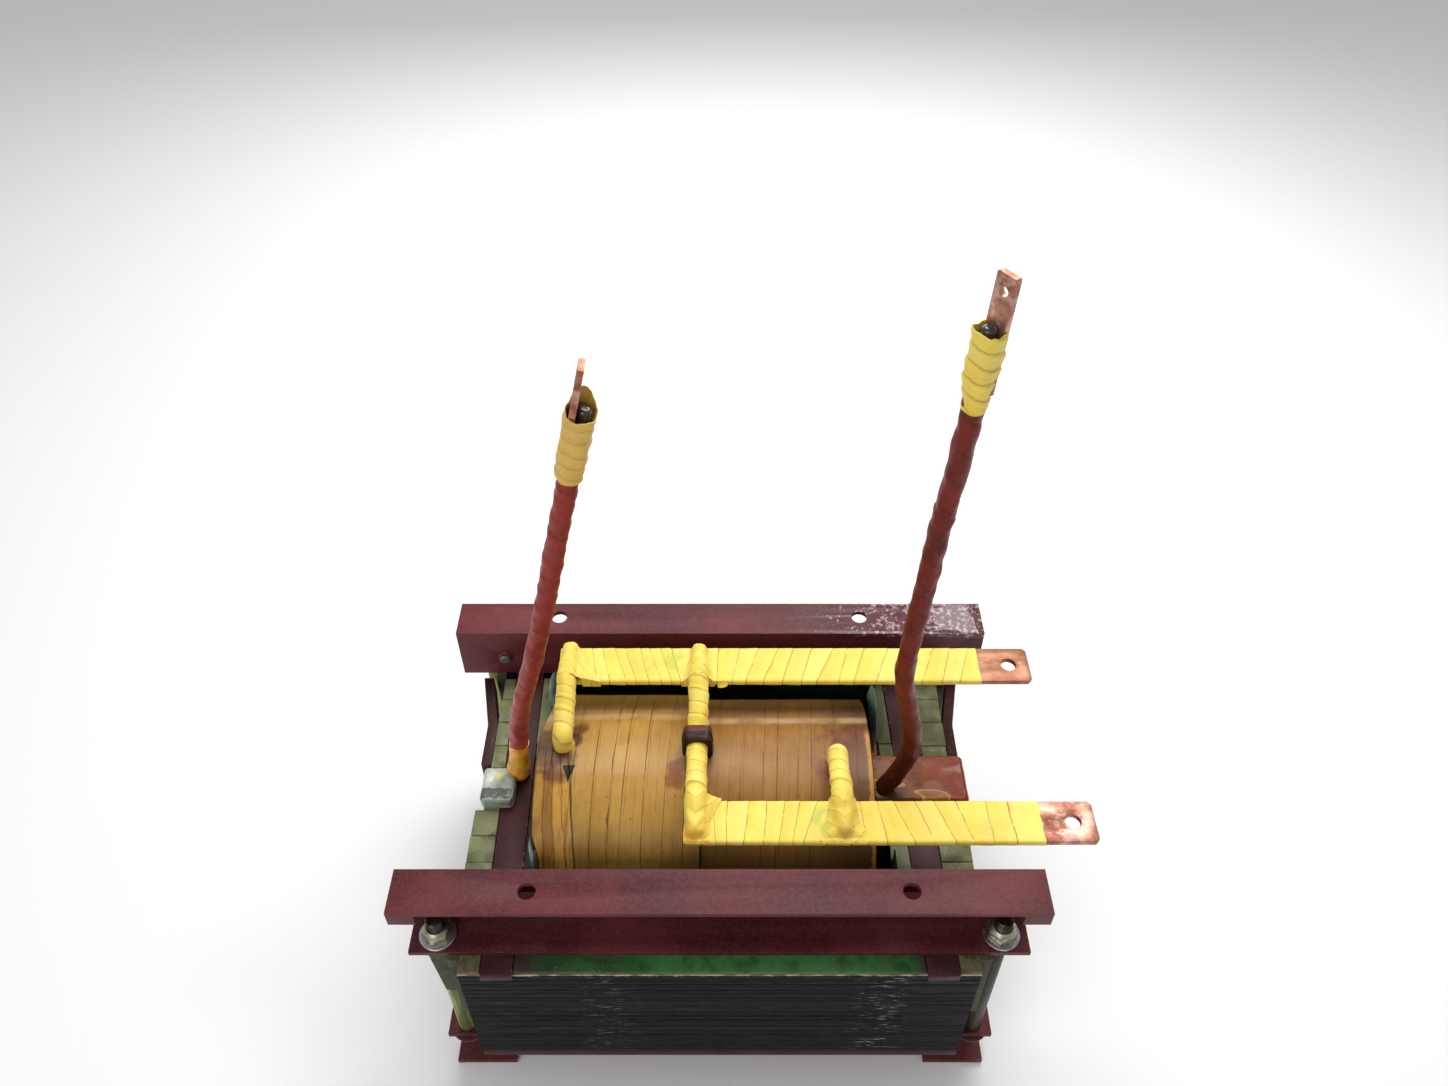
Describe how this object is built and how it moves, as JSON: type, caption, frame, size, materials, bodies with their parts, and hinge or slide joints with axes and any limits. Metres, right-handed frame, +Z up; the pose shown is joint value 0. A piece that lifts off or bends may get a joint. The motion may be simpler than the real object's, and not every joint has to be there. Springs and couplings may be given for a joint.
{
  "type": "isolation transformer",
  "caption": "Open dry-type isolation transformer: flat shell-type core with a round taped coil, steel clamps, channel feet, copper bars and upright terminals.",
  "frame": {"origin": "centre of the whole object's bounding box, on the plane its feet stand on", "axes": "+Z up, -Y is the front, +X runs along the coil's axis towards the bare ends of the copper bars"},
  "size_m": [0.735, 0.4806, 0.976],
  "materials": {
    "clamp_paint": "thick maroon paint with chips and scratches",
    "maroon_board": "maroon-painted insulating board",
    "core_laminations": "black varnished edges of thin steel sheets",
    "stud_steel": "dark threaded steel",
    "zinc_washer": "bright zinc",
    "zinc_nut": "yellowish zinc",
    "rod_sleeve": "yellow-green insulating tube",
    "green_board": "green insulating board with frayed edges",
    "olive_board": "olive insulating board",
    "pressboard": "varnished pressboard",
    "winding": "insulated copper conductor",
    "coil_tape": "amber varnished tape",
    "liner_film": "dark green insulating film",
    "copper": "bare copper with blotchy tarnish",
    "yellow_tape": "yellow insulating tape in overlapping turns",
    "lead_binding": "brown varnished tape binding",
    "left_riser_sheath": "terracotta sleeve with ring wrinkles",
    "right_riser_sheath": "dark red-brown sleeve",
    "conductor_resin": "black glossy resin",
    "riser_boot": "orange glossy boot",
    "block_resin": "brown glossy resin"
  },
  "bodies": {
    "root": {"centre_limb": "core_laminations", "clamp_bolt_nuts": "zinc_nut", "clamp_bolt_washers": "zinc_washer", "clamp_bolts": "stud_steel", "coil_end_cheeks": "pressboard", "coil_former": "pressboard", "front_bar_tape": "yellow_tape", "front_base_channel": "clamp_paint", "front_base_strip": "maroon_board", "front_bus_bar": "copper", "front_centre_lead": "yellow_tape", "front_limb": "core_laminations", "front_limb_boards": "green_board", "front_right_lead": "yellow_tape", "front_slot_liner": "liner_film", "front_top_angle": "clamp_paint", "front_top_ledge": "clamp_paint", "inner_winding": "winding", "lead_binding": "lead_binding", "left_coil_wrap": "coil_tape", "left_conductor_end": "conductor_resin", "left_lead_block": "block_resin", "left_outer_section": "winding", "left_riser": "left_riser_sheath", "left_riser_boot": "riser_boot", "left_riser_tape": "yellow_tape", "left_rod_guard": "olive_board", "left_side_rail": "maroon_board", "left_terminal": "copper", "left_yoke": "core_laminations", "left_yoke_bar": "clamp_paint", "left_yoke_blocks": "olive_board", "rear_bar_tape": "yellow_tape", "rear_base_channel": "clamp_paint", "rear_base_strip": "maroon_board", "rear_bus_bar": "copper", "rear_centre_lead": "yellow_tape", "rear_left_lead": "yellow_tape", "rear_limb": "core_laminations", "rear_limb_boards": "green_board", "rear_slot_liner": "liner_film", "rear_top_angle": "clamp_paint", "rear_top_ledge": "clamp_paint", "right_coil_wrap": "coil_tape", "right_conductor_end": "conductor_resin", "right_lead_block": "block_resin", "right_outer_section": "winding", "right_riser": "right_riser_sheath", "right_riser_tape": "yellow_tape", "right_side_rail": "maroon_board", "right_terminal": "copper", "right_yoke": "core_laminations", "right_yoke_bar": "clamp_paint", "right_yoke_blocks": "olive_board", "side_boards": "olive_board", "tie_rod_nuts": "zinc_nut", "tie_rod_sleeves": "rod_sleeve", "tie_rod_washers": "zinc_washer", "tie_rods": "stud_steel", "winding_barrier": "pressboard"}
  },
  "joints": []
}
